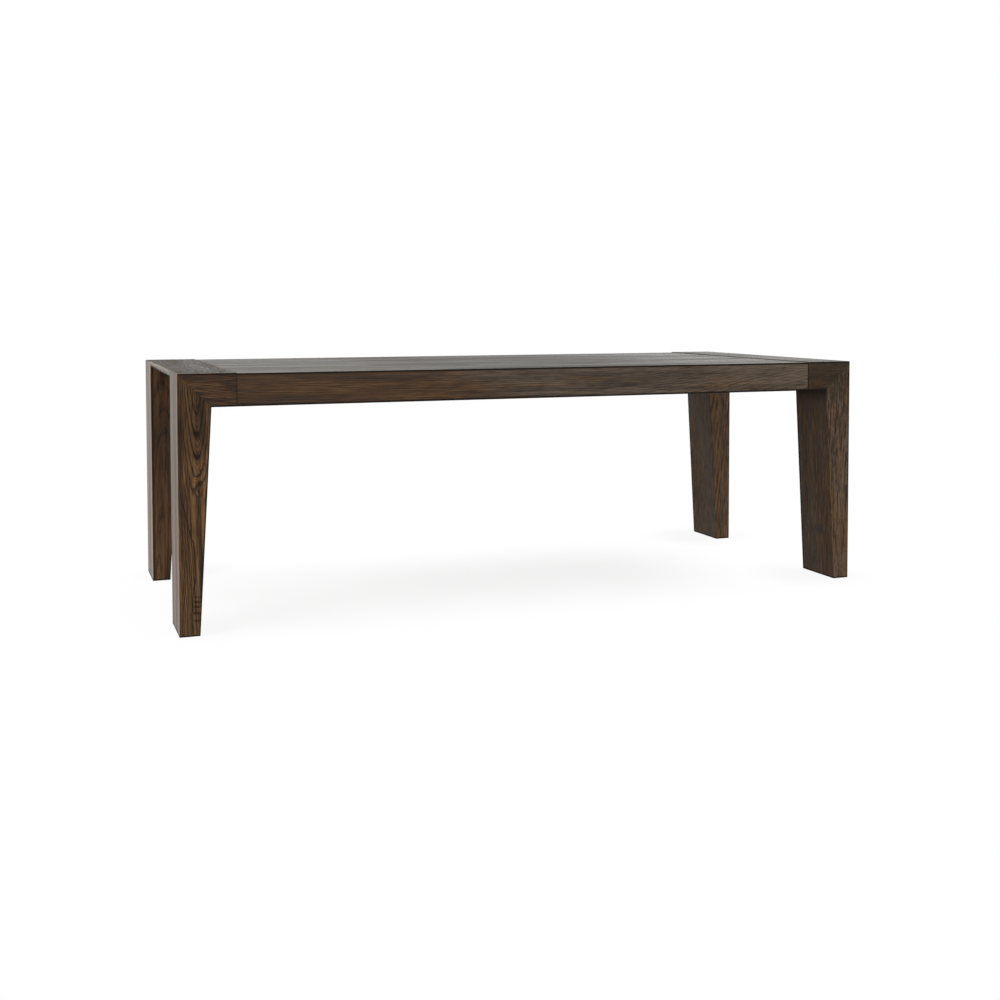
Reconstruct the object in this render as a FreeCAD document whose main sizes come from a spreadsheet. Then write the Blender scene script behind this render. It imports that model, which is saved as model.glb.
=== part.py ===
import FreeCAD, Part
import os
import re
import Sketcher

# Long dining table of dark oak: four slab legs that taper on their inner face, each mitred to a short arm,
# two end boards with cross grain, and a middle section of top panel and aprons that is bolted between them.
# X runs along the table, Y from front to rear, Z up. The origin is on the floor, under the middle.

# Driving dimensions, in millimetres
SIZES = {
    "table_length": 2286.0,
    "table_depth": 1016.0,
    "table_height": 762.0,
    "corner_length": 169.5,
    "apron_height": 99.0,
    "apron_thickness": 28.0,
    "board_thickness": 16.0,
    "reveal": 2.0,
    "arris_radius": 2.5,
    "leg_depth": 192.0,
    "leg_wall": 15.0,
    "knee_width": 97.0,
    "foot_width": 59.0,
    "head_block_drop": 60.0,
    "foot_block_height": 62.0,
    "rail_thickness": 30.0,
    "bearer_thickness": 32.0,
    "bearer_height": 58.0,
    "housing_depth": 9.0,
    "glue_block_length": 90.0,
    "glue_block_width": 22.0,
    "spline_length": 120.0,
    "spline_width": 40.0,
    "spline_thickness": 6.0,
    "dowel_diameter": 10.0,
    "dowel_length": 40.0,
    "dowel_embed": 15.0,
    "bolt_diameter": 8.0,
    "bolt_hole_diameter": 9.0,
    "bolt_head_radius": 7.5,
    "bolt_head_height": 5.3,
    "bolt_overhang": 3.0,
    "nut_height": 6.8,
    "washer_diameter": 24.0,
    "washer_hole_diameter": 8.4,
    "washer_thickness": 1.6,
    "screw_diameter": 4.5,
    "screw_head_diameter": 9.0,
    "screw_head_height": 3.2,
    "screw_grip": 35.0,
    "screw_bite": 12.0,
    "screw_bore_diameter": 11.0,
    "insert_diameter": 13.0,
    "insert_length": 20.0,
    "stem_diameter": 8.0,
    "stem_length": 41.0,
    "stem_bore_diameter": 9.0,
    "stem_bore_depth": 54.0,
    "running_clearance": 0.05,
    "spigot_diameter": 5.0,
    "spigot_length": 3.0,
    "collar_radius": 6.9,
    "collar_height": 3.5,
    "pad_diameter": 20.0,
    "pad_height": 5.0,
    "pad_recess": 0.3,
    "pad_socket_depth": 3.5,
    "pad_pocket_diameter": 22.0,
    "pad_pocket_depth": 9.5,
    "overrun": 1.0,
}

# Places of the repeated pieces, as shares of the piece that carries them
BEARER_SHARES = (("inner", "0.25"), ("outer", "0.63"))
GLUE_BLOCK_SHARES = ("0.1", "0.44", "0.8")
BOLT_SHARES = ("0.3", "0.8")
BEARER_SCREW_SHARES = ("0.35", "0.75")
RAIL_SCREW_SHARES = ("0.1", "0.55")
ARM_SCREW_SHARES = ("0.3", "0.75")
RAIL_DOWEL_SHARES = ("0.3", "0.7")
JOINT_DOWEL_SHARE = "0.5"

# Formulas that several pieces use
UNDER_APRON = "(table_height - apron_height)"
UNDER_END = "(table_height - board_thickness)"
MIDDLE_TOP = "(table_height - reveal)"
UNDER_TOP = "(table_height - reveal - board_thickness)"
MIDDLE_LENGTH = "(table_length - 2 * corner_length)"
APRON_BACK = "(reveal + apron_thickness)"
TAPER = f"((knee_width - foot_width) / {UNDER_APRON})"
HEAD_WIDTH = f"(foot_width + {TAPER} * table_height)"
MITRE_RUN = "(knee_width / apron_height)"
BOLT_GRIP = "(2 * rail_thickness + 2 * washer_thickness + nut_height)"
LEVELLER_PLACE = ("foot_width / 2", "leg_depth / 2")

X_AXIS = FreeCAD.Vector(1, 0, 0)
Y_AXIS = FreeCAD.Vector(0, 1, 0)
ALONG_X = FreeCAD.Rotation(Y_AXIS, 90)
ALONG_Y = FreeCAD.Rotation(X_AXIS, -90)
UPRIGHT = FreeCAD.Rotation()

doc = FreeCAD.newDocument("dining_table")
sheet = doc.addObject("Spreadsheet::Sheet", "dims")
for row, (alias, size) in enumerate(SIZES.items(), 1):
    sheet.set(f"A{row}", alias)
    sheet.set(f"B{row}", str(size))
    sheet.setAlias(f"B{row}", alias)
doc.recompute()

nodes = []


def formula(text):
    """The text as an expression on the sheet's cells."""
    return re.sub(r"[a-z_]+", lambda word: "dims." + word[0] if word[0] in SIZES else word[0], text)


def value(text):
    """The present value of a formula, in millimetres."""
    return float(sheet.evalExpression(formula(text)))


def bind(thing, **sizes):
    """Binds properties of an object to formulas on the sheet."""
    for name, text in sizes.items():
        thing.setExpression(name, formula(text))


def place(thing, along="0", across="0", up="0", turn=UPRIGHT):
    """Places an object by its distances from the left end, the front face and the floor."""
    thing.Placement = FreeCAD.Placement(FreeCAD.Vector(), turn)
    thing.setExpression("Placement.Base.x", formula(f"{along} - table_length / 2"))
    thing.setExpression("Placement.Base.y", formula(f"{across} - table_depth / 2"))
    thing.setExpression("Placement.Base.z", formula(up))
    return thing


def new_body(name):
    """A body whose own origin is on the floor under the table's left front corner."""
    return place(doc.addObject("PartDesign::Body", name))


def sketch_on(body, plane, points, offset="0"):
    """A closed outline of straight lines, each corner bound to its two formulas.

    It lies on one of the body's planes, or off it along the plane's normal, which is -Y on XZ_Plane.
    """
    sketch = body.newObject("Sketcher::SketchObject", body.Name + "_outline")
    sketch.AttachmentSupport = next(item for item in body.Origin.OriginFeatures if item.Role == plane)
    sketch.MapMode = "FlatFace"
    bind(sketch, **{"AttachmentOffset.Base.z": offset})
    corners = [FreeCAD.Vector(value(first), value(second), 0) for first, second in points]
    count = len(corners)
    for index in range(count):
        sketch.addGeometry(Part.LineSegment(corners[index], corners[(index + 1) % count]))
    for index in range(count):
        sketch.addConstraint(Sketcher.Constraint("Coincident", index, 2, (index + 1) % count, 1))
    for index, point in enumerate(points):
        for kind, zero_axis, text in zip(("DistanceX", "DistanceY"), (-2, -1), point):
            if text == "0":
                sketch.addConstraint(Sketcher.Constraint("PointOnObject", index, 1, zero_axis))
                continue
            number = sketch.addConstraint(Sketcher.Constraint(kind, -1, 1, index, 1, value(text)))
            sketch.setExpression(f"Constraints[{number}]", formula(text))
    return sketch


def pad(body, sketch, length, reverse=False):
    """Pads a sketch by a formula's length."""
    feature = body.newObject("PartDesign::Pad", body.Name + "_pad")
    feature.Profile = sketch
    feature.Reversed = reverse
    bind(feature, Length=length)
    doc.recompute()


def pocket(body, sketch, length=None):
    """Cuts a sketch into its body, right through unless a length is given, and makes sure that it cut."""
    before = body.Shape.Volume
    feature = body.newObject("PartDesign::Pocket", body.Name + "_pocket")
    feature.Profile = sketch
    if length is None:
        feature.Type = "ThroughAll"
    else:
        bind(feature, Length=length)
    doc.recompute()
    if body.Shape.Volume >= before:
        raise RuntimeError(feature.Name + " cuts nothing")


def loft(body, first, second):
    """A straight-sided loft between two sketches."""
    feature = body.newObject("PartDesign::AdditiveLoft", body.Name + "_loft")
    feature.Profile = first
    feature.Sections = [second]
    feature.Ruled = True
    doc.recompute()


def ease(body, middles):
    """Rounds the edges of a body whose middles are given as formulas, with the arris radius."""
    base = body.Tip
    targets = [FreeCAD.Vector(*(value(text) for text in middle)) for middle in middles]
    edges = []
    for target in targets:
        nearest = min(
            range(len(base.Shape.Edges)),
            key=lambda index: (base.Shape.Edges[index].CenterOfMass - target).Length,
        )
        edges.append(f"Edge{nearest + 1}")
    fillet = body.newObject("PartDesign::Fillet", body.Name + "_fillet")
    fillet.Base = (base, edges)
    bind(fillet, Radius="arris_radius")
    doc.recompute()


def combine(kind, base, tool, name):
    """A boolean of two objects: Common keeps what they share, Cut takes the tool away, Fuse joins them."""
    result = doc.addObject("Part::" + kind, name)
    result.Base = base
    result.Tool = tool
    return result


def group(name, members):
    """Several solids as one object."""
    compound = doc.addObject("Part::Compound", name)
    compound.Links = members
    return compound


def drilled(base, tools, name):
    """A piece with all of the tools' shapes cut out of it."""
    return combine("Cut", base, group(name + "_tools", tools), name)


def mirror(source, normal, name):
    """The mirror image of an object in a vertical plane through the table's middle."""
    image = doc.addObject("Part::Mirroring", name)
    image.Source = source
    image.Normal = normal
    return image


def keep(piece, name):
    """Names a finished sub-part, which is written to a file of that name."""
    piece.Label = name
    nodes.append(piece)
    return piece


def at_left_and_right(piece, name):
    """Keeps a left piece and its image at the right."""
    return [keep(piece, "left_" + name), keep(mirror(piece, X_AXIS, name + "_right"), "right_" + name)]


def at_front_and_rear(piece, name):
    """Keeps a front piece and its image at the rear."""
    keep(piece, "front_" + name)
    keep(mirror(piece, Y_AXIS, name + "_rear"), "rear_" + name)


def at_four_corners(piece, name):
    """Keeps a left front piece and its images at the other three corners."""
    rear = mirror(piece, Y_AXIS, name + "_rear")
    at_left_and_right(piece, "front_" + name)
    at_left_and_right(rear, "rear_" + name)


def in_four_quarters(members, name):
    """One object of the left front quarter's solids and their images in the other three quarters."""
    quarter = group(name + "_quarter", members)
    right = mirror(quarter, X_AXIS, name + "_quarter_right")
    rear = mirror(quarter, Y_AXIS, name + "_quarter_rear")
    far = mirror(right, Y_AXIS, name + "_quarter_far")
    return group(name, [quarter, right, rear, far])


def box(name, length, width, height, along, across, up):
    """A box from its sizes and the place of its left, front, lower corner."""
    block = doc.addObject("Part::Box", name)
    bind(block, Length=length, Width=width, Height=height)
    return place(block, along, across, up)


def rod(name, diameter, length, along, across, up, turn=UPRIGHT):
    """A cylinder from its sizes and the place of its start."""
    cylinder = doc.addObject("Part::Cylinder", name)
    bind(cylinder, Radius=f"{diameter} / 2", Height=length)
    return place(cylinder, along, across, up, turn)


def hexagon(name, radius, length, along, across, up, turn=UPRIGHT):
    """A hexagonal prism from its corner radius, its length and the place of its start."""
    prism = doc.addObject("Part::Prism", name)
    prism.Polygon = 6
    bind(prism, Circumradius=radius, Height=length)
    return place(prism, along, across, up, turn)


def arm_outline():
    """The arm seen from the front: its lower left side is the mitre with the leg."""
    return [
        ("0", "table_height"),
        ("knee_width", UNDER_APRON),
        ("corner_length", UNDER_APRON),
        ("corner_length", "table_height"),
    ]


def side_outline(inset):
    """A leg seen from the front, carried up to the table's height and drawn in at both sides."""
    return [
        (inset, "0"),
        (f"foot_width - {inset}", "0"),
        (f"{HEAD_WIDTH} - {inset}", "table_height"),
        (inset, "table_height"),
    ]


def leg_form():
    """The rounded outer form of a leg, carried up past its mitre to the table's height."""
    body = new_body("leg_form")
    pad(body, sketch_on(body, "XZ_Plane", side_outline("0")), "leg_depth", reverse=True)
    middles = [("0", "leg_depth / 2", "table_height")]
    for face in ("0", "leg_depth"):
        middles.append(("0", face, "table_height / 2"))
        middles.append((f"(foot_width + {HEAD_WIDTH}) / 2", face, "table_height / 2"))
    ease(body, middles)
    return body


def arm_form():
    """The rounded outer form of an arm, carried back past its mitre to the table's end."""
    body = new_body("arm_form")
    outline = [
        ("0", UNDER_APRON),
        ("leg_depth", UNDER_APRON),
        ("leg_depth", "table_height"),
        ("0", "table_height"),
    ]
    pad(body, sketch_on(body, "YZ_Plane", outline), "corner_length")
    middles = [("corner_length / 2", "0", "table_height")]
    for face in ("0", "leg_depth"):
        middles.append(("corner_length / 2", face, UNDER_APRON))
    ease(body, middles)
    return body


def end_form():
    """The rounded outer form of an end board."""
    body = new_body("end_form")
    outline = [
        ("0", UNDER_END),
        ("corner_length", UNDER_END),
        ("corner_length", "table_height"),
        ("0", "table_height"),
    ]
    pad(body, sketch_on(body, "XZ_Plane", outline), "table_depth", reverse=True)
    middles = [("0", "table_depth / 2", "table_height")]
    for face in ("0", "table_depth"):
        middles.append(("corner_length / 2", face, "table_height"))
        middles.append(("0", face, f"({UNDER_END} + table_height) / 2"))
    ease(body, middles)
    return body


def middle_form():
    """The rounded outer form of the middle section, set back from the end frames by the reveal."""
    body = new_body("middle_form")
    outline = [
        ("reveal", UNDER_APRON),
        ("table_depth - reveal", UNDER_APRON),
        ("table_depth - reveal", MIDDLE_TOP),
        ("reveal", MIDDLE_TOP),
    ]
    pad(body, sketch_on(body, "YZ_Plane", outline, "corner_length"), MIDDLE_LENGTH)
    middles = []
    for face in ("reveal", "table_depth - reveal"):
        for level in (UNDER_APRON, MIDDLE_TOP):
            middles.append(("table_length / 2", face, level))
    ease(body, middles)
    return body


def leg_panel(name, plane, shown, hidden):
    """One wall of a leg, lofted from its shown face to its hidden face and cut off along the arm's mitre."""
    body = new_body(name)
    loft(body, sketch_on(body, plane, *shown), sketch_on(body, plane, *hidden))
    pocket(body, sketch_on(body, "XZ_Plane", arm_outline()))
    return combine("Common", body, leg_shape, name + "_eased")


def end_outline(inset):
    """A leg seen from the end, drawn in at both sides."""
    return [
        (inset, "0"),
        (f"leg_depth - {inset}", "0"),
        (f"leg_depth - {inset}", "table_height"),
        (inset, "table_height"),
    ]


def inner_section(width):
    """The inner wall of a leg seen from above, where the leg has the given width."""
    return [
        (width, "0"),
        (width, "leg_depth"),
        (f"{width} - leg_wall", "leg_depth - leg_wall"),
        (f"{width} - leg_wall", "leg_wall"),
    ]


def leg_panels():
    """The four mitred walls of each leg."""
    hidden = (end_outline("leg_wall"), "leg_wall")
    outer = leg_panel("leg_outer_panel", "YZ_Plane", (end_outline("0"),), hidden)
    inner = leg_panel(
        "leg_inner_panel",
        "XY_Plane",
        (inner_section("foot_width"),),
        (inner_section(HEAD_WIDTH), "table_height"),
    )
    front = leg_panel(
        "leg_front_panel", "XZ_Plane", (side_outline("0"),), (side_outline("leg_wall"), "-leg_wall")
    )
    rear = leg_panel(
        "leg_rear_panel",
        "XZ_Plane",
        (side_outline("0"), "-leg_depth"),
        (side_outline("leg_wall"), "leg_wall - leg_depth"),
    )
    at_four_corners(outer, "leg_outer_panel")
    at_four_corners(inner, "leg_inner_panel")
    at_four_corners(front, "leg_outward_panel")
    at_four_corners(rear, "leg_inward_panel")


def leg_blocks():
    """The solid blocks that fill the head and the foot of each leg."""
    head = new_body("leg_head_block")
    start = f"({UNDER_APRON} - head_block_drop)"
    outline = [
        ("leg_wall", start),
        (f"foot_width + {TAPER} * {start} - leg_wall", start),
        (f"{HEAD_WIDTH} - leg_wall", "table_height"),
        ("leg_wall", "table_height"),
    ]
    pad(head, sketch_on(head, "XZ_Plane", outline, "-leg_wall"), "leg_depth - 2 * leg_wall", reverse=True)
    pocket(head, sketch_on(head, "XZ_Plane", arm_outline()))
    at_four_corners(drilled(head, [splines], "leg_head_block_slotted"), "leg_head_block")

    foot = new_body("leg_foot_block")
    outline = [
        ("leg_wall", "0"),
        ("foot_width - leg_wall", "0"),
        (f"foot_width + {TAPER} * foot_block_height - leg_wall", "foot_block_height"),
        ("leg_wall", "foot_block_height"),
    ]
    pad(foot, sketch_on(foot, "XZ_Plane", outline, "-leg_wall"), "leg_depth - 2 * leg_wall", reverse=True)
    bores = [
        rod("pad_pocket", "pad_pocket_diameter", "pad_pocket_depth", *LEVELLER_PLACE, "0"),
        rod("insert_bore", "insert_diameter", "insert_length", *LEVELLER_PLACE, "pad_pocket_depth"),
        rod("stem_bore", "stem_bore_diameter", "stem_bore_depth", *LEVELLER_PLACE, "0"),
    ]
    at_four_corners(drilled(foot, bores, "leg_foot_block_bored"), "leg_foot_block")


def arms():
    """The short arms beside the legs, flush with their faces, with a lip mitred to the end board."""
    body = new_body("arm")
    outline = [
        ("0", UNDER_APRON),
        ("leg_depth", UNDER_APRON),
        ("leg_depth", UNDER_END),
        ("board_thickness", UNDER_END),
        ("0", "table_height"),
    ]
    pad(body, sketch_on(body, "YZ_Plane", outline), "corner_length")
    mitre = [("0", UNDER_APRON), ("knee_width", UNDER_APRON), ("0", "table_height")]
    pocket(body, sketch_on(body, "XZ_Plane", mitre))
    eased = combine("Common", body, arm_shape, "arm_eased")
    at_four_corners(drilled(eased, [splines, dowels, screw_holes], "arm_drilled"), "corner_arm")


def end_boards():
    """The end boards: mitred to the arms and over the legs, and square between the legs."""
    body = new_body("end_board")
    outline = [
        ("board_thickness", UNDER_END),
        ("table_depth - board_thickness", UNDER_END),
        ("table_depth", "table_height"),
        ("0", "table_height"),
    ]
    pad(body, sketch_on(body, "YZ_Plane", outline), "corner_length")
    undercut = [("0", UNDER_END), (f"board_thickness * {MITRE_RUN}", UNDER_END), ("0", "table_height")]
    pocket(body, sketch_on(body, "XZ_Plane", undercut), "leg_depth")
    pocket(body, sketch_on(body, "XZ_Plane", undercut, "leg_depth - table_depth"), "leg_depth")
    eased = combine("Common", body, end_shape, "end_board_eased")
    at_left_and_right(drilled(eased, [screw_holes], "end_board_drilled"), "end_board")


def top_panel():
    """The middle of the top, mitred to both aprons."""
    body = new_body("top")
    outline = [
        ("reveal + board_thickness", UNDER_TOP),
        ("table_depth - reveal - board_thickness", UNDER_TOP),
        ("table_depth - reveal", MIDDLE_TOP),
        ("reveal", MIDDLE_TOP),
    ]
    pad(body, sketch_on(body, "YZ_Plane", outline, "corner_length"), MIDDLE_LENGTH)
    eased = combine("Common", body, middle_shape, "top_eased")
    keep(drilled(eased, [screw_holes], "top_drilled"), "top_panel")


def aprons():
    """The long aprons, with a lip mitred to the top and a housing for each bearer."""
    body = new_body("apron")
    outline = [
        ("reveal", UNDER_APRON),
        (APRON_BACK, UNDER_APRON),
        (APRON_BACK, UNDER_TOP),
        ("reveal + board_thickness", UNDER_TOP),
        ("reveal", MIDDLE_TOP),
    ]
    pad(body, sketch_on(body, "YZ_Plane", outline, "corner_length"), MIDDLE_LENGTH)
    eased = combine("Common", body, middle_shape, "apron_eased")
    at_front_and_rear(drilled(eased, [dowels, *bearers], "apron_housed"), "apron")


def bearer_place(share):
    """How far a bearer's middle lies from the left end, from its share of half the middle section."""
    return f"table_length / 2 - {share} * {MIDDLE_LENGTH} / 2"


def cross_bearers():
    """The bearers under the top, housed in both aprons."""
    kept = []
    for name, share in BEARER_SHARES:
        blank = box(
            name + "_bearer_blank",
            "bearer_thickness",
            f"table_depth - 2 * {APRON_BACK} + 2 * housing_depth",
            "bearer_height",
            f"{bearer_place(share)} - bearer_thickness / 2",
            f"{APRON_BACK} - housing_depth",
            f"{UNDER_TOP} - bearer_height",
        )
        bearer = drilled(blank, [screw_holes], name + "_bearer_drilled")
        kept += at_left_and_right(bearer, name + "_bearer")
    return kept


def rails():
    """The end rail between two arms, and the middle section's rail that is bolted to its face."""
    end_rail = box(
        "end_rail_blank",
        "rail_thickness",
        "table_depth - 2 * leg_depth",
        "apron_height - board_thickness",
        "corner_length - rail_thickness",
        "leg_depth",
        UNDER_APRON,
    )
    middle_rail = box(
        "middle_rail_blank",
        "rail_thickness",
        f"table_depth - 2 * {APRON_BACK}",
        "apron_height - reveal - board_thickness",
        "corner_length",
        APRON_BACK,
        UNDER_APRON,
    )
    tools = [dowels, screw_holes, bolt_holes]
    at_left_and_right(drilled(end_rail, tools, "end_rail_drilled"), "end_rail")
    at_left_and_right(drilled(middle_rail, tools, "middle_rail_drilled"), "middle_rail")


def glue_blocks():
    """The blocks glued into the corner between the top and each apron."""
    blocks = []
    for share in GLUE_BLOCK_SHARES:
        block = box(
            "glue_block",
            "glue_block_length",
            "glue_block_width",
            "glue_block_width",
            f"{bearer_place(share)} - glue_block_length / 2",
            APRON_BACK,
            f"{UNDER_TOP} - glue_block_width",
        )
        blocks.append(block)
    keep(in_four_quarters(blocks, "glue_blocks_all"), "glue_blocks")


def mitre_splines():
    """The loose tongue across the mitre of each leg and arm."""
    spline = doc.addObject("Part::Box", "spline")
    bind(spline, Length="spline_width", Width="spline_length", Height="spline_thickness")
    slope = "atan(knee_width / apron_height)"
    across = f"(cos({slope}) * spline_width - sin({slope}) * spline_thickness) / 2"
    upward = f"(sin({slope}) * spline_width + cos({slope}) * spline_thickness) / 2"
    place(
        spline,
        f"knee_width / 2 - {across}",
        "(leg_depth - spline_length) / 2",
        f"table_height - apron_height / 2 - {upward}",
        FreeCAD.Rotation(-Y_AXIS, 45),
    )
    spline.setExpression("Placement.Rotation.Angle", formula(slope))
    return keep(in_four_quarters([spline], "splines_all"), "mitre_splines")


def dowel_pins():
    """The dowels of the rails, and those that line the middle section up with the arms."""
    rail_height = "(apron_height - reveal - board_thickness)"
    joint_level = f"{UNDER_APRON} + {JOINT_DOWEL_SHARE} * {rail_height}"
    pins = []
    for across in ("reveal + apron_thickness / 2", f"({APRON_BACK} + leg_depth) / 2"):
        start = "corner_length - dowel_length / 2"
        pins.append(rod("dowel", "dowel_diameter", "dowel_length", start, across, joint_level, ALONG_X))
    for share in RAIL_DOWEL_SHARES:
        level = f"{UNDER_APRON} + {share} * {rail_height}"
        for side, face in (("-", "leg_depth"), ("+", APRON_BACK)):
            along = f"corner_length {side} rail_thickness / 2"
            start = f"{face} - dowel_embed"
            pins.append(rod("dowel", "dowel_diameter", "dowel_length", along, start, level, ALONG_Y))
    return keep(in_four_quarters(pins, "dowels_all"), "dowels")


def wood_screws():
    """The screws that hold the top panel and the end boards from below, and the holes that take them."""
    places = []
    for share in BEARER_SCREW_SHARES:
        across = f"table_depth / 2 - {share} * table_depth / 2"
        for _, bearer_share in BEARER_SHARES:
            places.append((bearer_place(bearer_share), across, UNDER_TOP, f"({UNDER_TOP} - bearer_height)"))
    for share in RAIL_SCREW_SHARES:
        across = f"table_depth / 2 - {share} * (table_depth / 2 - leg_depth)"
        places.append(("corner_length + rail_thickness / 2", across, UNDER_TOP, UNDER_APRON))
        places.append(("corner_length - rail_thickness / 2", across, UNDER_END, UNDER_APRON))
    for share in ARM_SCREW_SHARES:
        across = f"{share} * leg_depth"
        places.append(("(knee_width + corner_length) / 2", across, UNDER_END, UNDER_APRON))

    pins = []
    holes = []
    for along, across, seat, below in places:
        start = f"{seat} - screw_grip"
        shank = rod("screw_shank", "screw_diameter", "screw_grip + screw_bite", along, across, start)
        low = f"{start} - screw_head_height"
        head = rod("screw_head", "screw_head_diameter", "screw_head_height", along, across, low)
        pins.append(combine("Fuse", shank, head, "screw"))
        depth = f"{start} - {below} + overrun"
        bore = rod("screw_bore", "screw_bore_diameter", depth, along, across, f"{below} - overrun")
        holes.append(combine("Fuse", shank, bore, "screw_hole"))
    keep(in_four_quarters(pins, "screws_all"), "top_screws")
    return in_four_quarters(holes, "screw_holes_all")


def bolts():
    """The bolts that join the end frames to the middle section, with their washers and nuts."""
    level = f"{UNDER_APRON} + (apron_height - reveal - board_thickness) / 2"
    head_face = "corner_length + rail_thickness + washer_thickness"
    nut_face = "corner_length - rail_thickness - washer_thickness - nut_height"
    bolt_start = f"{nut_face} - bolt_overhang"
    pins = []
    nuts = []
    washers = []
    holes = []
    for share in BOLT_SHARES:
        across = f"table_depth / 2 - {share} * (table_depth / 2 - leg_depth)"
        spot = (across, level, ALONG_X)
        length = f"{BOLT_GRIP} + bolt_overhang"
        shank = rod("bolt_shank", "bolt_diameter", length, bolt_start, *spot)
        head = hexagon("bolt_head", "bolt_head_radius", "bolt_head_height", head_face, *spot)
        pins.append(combine("Fuse", shank, head, "bolt"))
        nut = hexagon("nut_blank", "bolt_head_radius", "nut_height", nut_face, *spot)
        nuts.append(drilled(nut, [shank], "nut"))
        for face in ("corner_length + rail_thickness", "corner_length - rail_thickness - washer_thickness"):
            disc = rod("washer_disc", "washer_diameter", "washer_thickness", face, *spot)
            hole = rod("washer_hole", "washer_hole_diameter", "washer_thickness", face, *spot)
            washers.append(combine("Cut", disc, hole, "washer"))
        start = "corner_length - rail_thickness - overrun"
        length = "2 * rail_thickness + 2 * overrun"
        holes.append(rod("bolt_hole", "bolt_hole_diameter", length, start, *spot))
    keep(in_four_quarters(pins, "bolts_all"), "joint_bolts")
    keep(in_four_quarters(nuts, "nuts_all"), "joint_nuts")
    keep(in_four_quarters(washers, "washers_all"), "joint_washers")
    return in_four_quarters(holes, "bolt_holes_all")


def levellers():
    """The levelling feet, sunk in the legs: a threaded insert, a stem with a hexagon collar, and a pad."""
    insert = rod("insert_blank", "insert_diameter", "insert_length", *LEVELLER_PLACE, "pad_pocket_depth")
    thread_bore = rod(
        "thread_bore", "(stem_diameter + 2 * running_clearance)", "insert_length", *LEVELLER_PLACE,
        "pad_pocket_depth",
    )
    sleeve = combine("Cut", insert, thread_bore, "insert")
    keep(in_four_quarters([sleeve], "inserts_all"), "leveller_inserts")

    pad_top = "(pad_recess + pad_height)"
    collar_start = f"({pad_top} + running_clearance)"
    collar = hexagon("stem_collar", "collar_radius", "collar_height", *LEVELLER_PLACE, collar_start)
    thread = rod(
        "stem_thread", "stem_diameter", "stem_length", *LEVELLER_PLACE, f"{collar_start} + collar_height"
    )
    spigot = rod(
        "stem_spigot", "spigot_diameter", "spigot_length", *LEVELLER_PLACE, f"{collar_start} - spigot_length"
    )
    stem = combine("Fuse", combine("Fuse", collar, thread, "stem_upper"), spigot, "stem")
    at_four_corners(stem, "leveller_stem")

    disc = rod("pad_disc", "pad_diameter", "pad_height", *LEVELLER_PLACE, "pad_recess")
    socket = rod(
        "pad_socket", "(spigot_diameter + 2 * running_clearance)", "pad_socket_depth", *LEVELLER_PLACE,
        f"{pad_top} - pad_socket_depth",
    )
    at_four_corners(combine("Cut", disc, socket, "foot_pad"), "leveller_pad")


leg_shape = leg_form()
arm_shape = arm_form()
end_shape = end_form()
middle_shape = middle_form()
splines = mitre_splines()
dowels = dowel_pins()
screw_holes = wood_screws()
bolt_holes = bolts()
bearers = cross_bearers()
leg_panels()
leg_blocks()
arms()
end_boards()
top_panel()
aprons()
rails()
glue_blocks()
levellers()
doc.recompute()

for thing in doc.Objects:
    if "Invalid" in thing.State or "Error" in thing.State:
        raise RuntimeError(f"{thing.Name} failed: {thing.State}")
for node in nodes:
    if node.Shape.isNull() or not node.Shape.isValid():
        raise RuntimeError(f"{node.Label} has no valid shape")

os.makedirs("parts", exist_ok=True)
for node in nodes:
    node.Shape.exportStep(f"parts/{node.Label}.step")
    print(f"{node.Label}: {len(node.Shape.Solids)} solids, {node.Shape.Volume / 1000:.1f} cm3")
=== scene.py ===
import math

import bpy
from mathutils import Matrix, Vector


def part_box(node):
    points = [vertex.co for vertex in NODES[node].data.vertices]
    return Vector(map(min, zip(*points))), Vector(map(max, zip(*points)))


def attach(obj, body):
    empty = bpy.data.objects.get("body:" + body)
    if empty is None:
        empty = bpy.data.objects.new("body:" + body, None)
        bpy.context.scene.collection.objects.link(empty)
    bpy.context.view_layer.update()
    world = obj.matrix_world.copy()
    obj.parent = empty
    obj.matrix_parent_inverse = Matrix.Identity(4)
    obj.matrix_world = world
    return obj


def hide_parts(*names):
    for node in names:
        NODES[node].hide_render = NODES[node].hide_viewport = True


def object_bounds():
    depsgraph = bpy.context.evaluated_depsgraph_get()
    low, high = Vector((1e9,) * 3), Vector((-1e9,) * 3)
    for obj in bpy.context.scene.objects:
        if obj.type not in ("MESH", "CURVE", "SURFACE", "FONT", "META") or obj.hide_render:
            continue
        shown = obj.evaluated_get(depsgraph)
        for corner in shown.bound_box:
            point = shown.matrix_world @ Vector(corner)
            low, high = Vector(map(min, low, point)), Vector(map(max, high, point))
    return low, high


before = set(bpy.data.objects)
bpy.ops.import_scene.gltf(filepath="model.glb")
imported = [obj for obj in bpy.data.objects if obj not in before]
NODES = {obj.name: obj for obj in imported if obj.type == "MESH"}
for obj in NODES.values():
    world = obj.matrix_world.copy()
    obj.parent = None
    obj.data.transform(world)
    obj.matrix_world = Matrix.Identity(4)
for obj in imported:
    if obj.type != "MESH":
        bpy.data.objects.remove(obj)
CAD_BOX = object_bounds()

bl_info = {
    "name": "Dark Oak Dining Table",
    "version": (1, 0, 0),
    "blender": (4, 5, 0),
    "location": "View3D > Sidebar > Table",
    "description": "Gives a long oak dining table its wood, fittings and studio",
    "category": "Object",
}

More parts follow.
